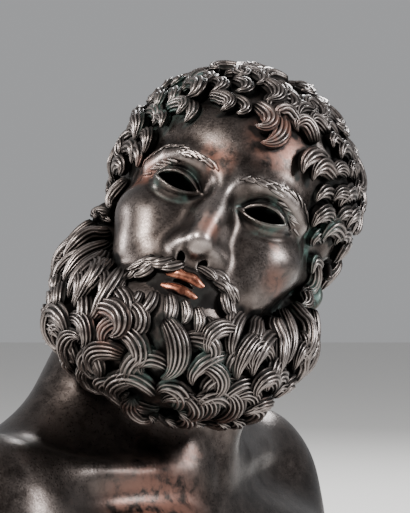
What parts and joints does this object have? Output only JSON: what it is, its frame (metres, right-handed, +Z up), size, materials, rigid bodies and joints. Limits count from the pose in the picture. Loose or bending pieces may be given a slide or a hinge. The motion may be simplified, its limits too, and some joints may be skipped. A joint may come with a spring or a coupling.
{
  "type": "bronze bust",
  "caption": "Ancient bronze bust of a bearded man, head tilted back, with copper lips, empty eye sockets and a flat underside to stand on.",
  "frame": {"origin": "middle of the flat underside", "axes": "+Z up through the head, -Y towards the viewer that the face looks at, +X to that viewer's right"},
  "size_m": [0.3275, 0.4032, 0.4388],
  "materials": {
    "bronze": "dark brown-black patina, satin",
    "copper": "dull copper red"
  },
  "bodies": {
    "root": {"bronze_bust": "bronze", "upper_lip": "copper", "lower_lip": "copper"}
  },
  "joints": []
}
